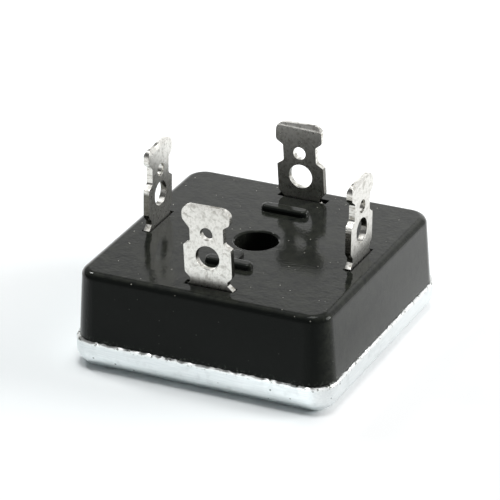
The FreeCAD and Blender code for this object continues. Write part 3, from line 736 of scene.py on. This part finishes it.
class RECTIFIER_OT_studio(bpy.types.Operator):
    """Set up the floor, the lamps, the world and the camera"""
    bl_idname = "rectifier.studio"
    bl_label = "Studio"

    def execute(self, context):
        look = context.scene.rectifier.studio
        context.scene.view_settings.view_transform = "Standard"
        self.lay_floor(look)
        self.light(look)
        self.place_camera(context, look)
        return {"FINISHED"}

    def lay_floor(self, look):
        """A round sheet of paper, with its tone in the picture and in gloss."""
        bpy.ops.mesh.primitive_circle_add(vertices=96, radius=FLOOR_RADIUS, fill_type="NGON",
                                          location=(0, 0, 0))
        floor = bpy.context.active_object
        floor.name = "studio_floor"
        # White paper: its shadows show near the part, and further off it runs into pure white
        material, tree, output, coordinates = new_material("matt_white_paper")
        path = add_node(tree, "ShaderNodeLightPath")
        seen = add_node(tree, "ShaderNodeMath", {
            0: path.outputs["Is Camera Ray"], 1: path.outputs["Is Glossy Ray"]}, operation="MAXIMUM")
        seen = add_node(tree, "ShaderNodeMath", {
            0: seen, 1: path.outputs["Is Transmission Ray"]}, operation="MAXIMUM")
        tone = add_node(tree, "ShaderNodeMix", {
            MIX_FACTOR: seen, MIX_A: look.floor, MIX_B: look.floor_seen}, data_type="RGBA")
        paper = add_node(tree, "ShaderNodeBsdfDiffuse", {"Color": tone.outputs[MIX_RESULT], "Roughness": 1.0})
        place = add_node(tree, "ShaderNodeSeparateXYZ", {"Vector": coordinates.outputs["Object"]})
        across = add_node(tree, "ShaderNodeMath", {0: place.outputs["X"]}, operation="ABSOLUTE")
        along = add_node(tree, "ShaderNodeMath", {0: place.outputs["Y"]}, operation="ABSOLUTE")
        reach = add_node(tree, "ShaderNodeMath", {0: across, 1: along}, operation="MAXIMUM")
        away = add_node(tree, "ShaderNodeMapRange", {
            "Value": reach, "From Min": BASE_REACH + 8 * MM, "From Max": BASE_REACH + 50 * MM})
        # At the right most of the shadow is burnt out, up to the part's foot
        burnt = add_node(tree, "ShaderNodeMapRange", {
            "Value": place.outputs["X"], "From Min": BASE_REACH - 2.4 * MM,
            "From Max": BASE_REACH + 0.8 * MM, "To Min": 0.0, "To Max": 0.78})
        white = add_node(tree, "ShaderNodeMath", {0: away, 1: burnt}, operation="MAXIMUM")
        # Gloss shows the floor behind the part brightest, and brighter at the base's right foot
        back = add_node(tree, "ShaderNodeMapRange", {
            "Value": place.outputs["Y"], "From Min": 0.0, "From Max": 65 * MM,
            "To Min": 0.82, "To Max": look.floor_back})
        foot = add_node(tree, "ShaderNodeMapRange", {
            "Value": place.outputs["X"], "From Min": BASE_REACH + 4 * MM, "From Max": BASE_REACH + 8 * MM,
            "To Min": 0.24, "To Max": 0.0})
        # Far off at the right gloss shows it darker, which turns the lugs' low bevels grey
        end = add_node(tree, "ShaderNodeMapRange", {
            "Value": place.outputs["X"], "From Min": 60 * MM, "From Max": 180 * MM,
            "To Min": 1.0, "To Max": 0.35})
        glossed = add_node(tree, "ShaderNodeMath", {0: back, 1: end, 2: foot}, operation="MULTIPLY_ADD")
        strength = add_node(tree, "ShaderNodeMath", {
            0: glossed, 1: path.outputs["Is Camera Ray"]}, operation="MAXIMUM")
        glow = add_node(tree, "ShaderNodeEmission", {"Color": WHITE, "Strength": strength})
        glowing = add_node(tree, "ShaderNodeMath", {0: seen, 1: white}, operation="MULTIPLY")
        mixed = add_node(tree, "ShaderNodeMixShader", {0: glowing, 1: paper, 2: glow})
        tree.links.new(mixed.outputs[0], output.inputs["Surface"])
        paint(floor, material)

    def light(self, look):
        """The world, by what each kind of ray sees of it, and the softboxes."""
        world = bpy.context.scene.world or bpy.data.worlds.new("studio")
        bpy.context.scene.world = world
        world.use_nodes = True
        tree = world.node_tree
        tree.nodes.clear()
        output = add_node(tree, "ShaderNodeOutputWorld")
        coordinates = add_node(tree, "ShaderNodeTexCoord")
        direction = add_node(tree, "ShaderNodeSeparateXYZ", {"Vector": coordinates.outputs["Generated"]})
        # A white sweep stands behind the part; its upper edge rises to the right
        rise = add_node(tree, "ShaderNodeMath", {
            0: direction.outputs["X"], 1: -0.5, 2: direction.outputs["Z"]}, operation="MULTIPLY_ADD")
        low = add_node(tree, "ShaderNodeMapRange", {
            "Value": rise, "From Min": 0.555, "From Max": 0.695, "To Min": 1.0, "To Max": 0.18})
        behind = add_node(tree, "ShaderNodeMapRange", {
            "Value": direction.outputs["Y"], "From Min": -0.15, "From Max": 0.35})
        wall = add_node(tree, "ShaderNodeMapRange", {
            "Value": direction.outputs["X"], "From Min": 0.15, "From Max": 0.45,
            "To Min": look.horizon, "To Max": look.horizon_right})
        sweep = add_node(tree, "ShaderNodeMath", {0: low, 1: behind}, operation="MULTIPLY")
        sweep = add_node(tree, "ShaderNodeMath", {0: sweep, 1: wall}, operation="MULTIPLY")
        # Low on the viewer's side is the dim room
        near = add_node(tree, "ShaderNodeMapRange", {
            "Value": direction.outputs["Y"], "From Min": -0.8, "From Max": -0.6,
            "To Min": look.viewer, "To Max": 0.0})
        below = add_node(tree, "ShaderNodeMapRange", {
            "Value": direction.outputs["Z"], "From Min": 0.25, "From Max": 0.42,
            "To Min": 1.0, "To Max": 0.0})
        room = add_node(tree, "ShaderNodeMath", {0: near, 1: below}, operation="MULTIPLY")
        around = add_node(tree, "ShaderNodeMath", {0: sweep, 1: room}, operation="ADD")
        # The light round the softbox overhead shows on edges that face up
        crown = add_node(tree, "ShaderNodeMapRange", {
            "Value": direction.outputs["Z"], "From Min": 0.78, "From Max": 0.88,
            "To Min": look.ceiling, "To Max": look.crown})
        mirrored = add_node(tree, "ShaderNodeMath", {0: around, 1: crown}, operation="ADD")
        # All that is not glossy gets soft light from above
        overhead = add_node(tree, "ShaderNodeMapRange", {
            "Value": direction.outputs["Z"], "From Min": 0.72, "From Max": 0.94,
            "To Min": 0.0, "To Max": look.dome})
        path = add_node(tree, "ShaderNodeLightPath")
        strength = add_node(tree, "ShaderNodeMapRange", {
            "Value": path.outputs["Is Glossy Ray"], "To Min": overhead, "To Max": mirrored})
        seen = add_node(tree, "ShaderNodeBackground", {"Color": WHITE, "Strength": 1.0})
        lit = add_node(tree, "ShaderNodeBackground", {"Color": WHITE, "Strength": strength})
        mixed = add_node(tree, "ShaderNodeMixShader", {0: path.outputs["Is Camera Ray"], 1: lit, 2: seen})
        tree.links.new(mixed.outputs[0], output.inputs["Surface"])
        for name, place, size, power in SOFTBOXES:
            self.hang_lamp(name, place, size, getattr(look, power))

    def hang_lamp(self, name, place, size, power):
        """A square softbox that points at the part and isn't in the picture."""
        data = bpy.data.lights.new(name, "AREA")
        data.energy = power
        data.size = size
        lamp = bpy.data.objects.new(name, data)
        bpy.context.scene.collection.objects.link(lamp)
        lamp.location = place
        lamp.rotation_euler = (-lamp.location).to_track_quat("-Z", "Y").to_euler()
        lamp.visible_camera = False

    def place_camera(self, context, look):
        """The photo's camera, from its angles, distance and lens."""
        across = Vector((math.cos(look.azimuth), math.sin(look.azimuth), 0))
        back = Vector((
            math.sin(look.azimuth) * math.cos(look.elevation),
            -math.cos(look.azimuth) * math.cos(look.elevation),
            math.sin(look.elevation)))
        up = back.cross(across)
        rolled_across = across * math.cos(look.roll) + up * math.sin(look.roll)
        rolled_up = up * math.cos(look.roll) - across * math.sin(look.roll)
        data = bpy.data.cameras.new("studio_camera")
        data.lens = look.lens
        data.sensor_width = 36
        data.clip_start = 0.05
        data.clip_end = 20
        camera = bpy.data.objects.new("studio_camera", data)
        context.scene.collection.objects.link(camera)
        turn = Matrix((rolled_across, rolled_up, back)).transposed().to_4x4()
        place = Vector(look.target) + back * look.distance
        camera.matrix_world = Matrix.Translation(place) @ turn
        context.scene.camera = camera


class RECTIFIER_PT_panel(bpy.types.Panel):
    """Sizes, colours and steps of the bridge rectifier"""
    bl_idname = "RECTIFIER_PT_panel"
    bl_label = "Bridge rectifier"
    bl_space_type = "VIEW_3D"
    bl_region_type = "UI"
    bl_category = "Rectifier"

    def draw(self, context):
        settings = context.scene.rectifier
        for title, group in (("Case", settings.case), ("Base", settings.base),
                             ("Lugs", settings.lug), ("Studio", settings.studio)):
            box = self.layout.box()
            box.label(text=title)
            for name in group.bl_rna.properties.keys():
                if name not in ("rna_type", "name"):
                    box.prop(group, name)
        for step in STEPS:
            self.layout.operator(step.bl_idname)


STEPS = (
    RECTIFIER_OT_base,
    RECTIFIER_OT_case,
    RECTIFIER_OT_lugs,
    RECTIFIER_OT_inner,
    RECTIFIER_OT_studio,
)
CLASSES = (CaseLook, BaseLook, LugLook, StudioLook, RectifierLook, *STEPS, RECTIFIER_PT_panel)


def register():
    for item in CLASSES:
        bpy.utils.register_class(item)
    bpy.types.Scene.rectifier = bpy.props.PointerProperty(type=RectifierLook)


def unregister():
    del bpy.types.Scene.rectifier
    for item in reversed(CLASSES):
        bpy.utils.unregister_class(item)


def main():
    """Build every piece and the studio."""
    register()
    bpy.ops.rectifier.base()
    bpy.ops.rectifier.case()
    bpy.ops.rectifier.lugs()
    bpy.ops.rectifier.inner()
    bpy.ops.rectifier.studio()


if __name__ == "__main__":
    main()
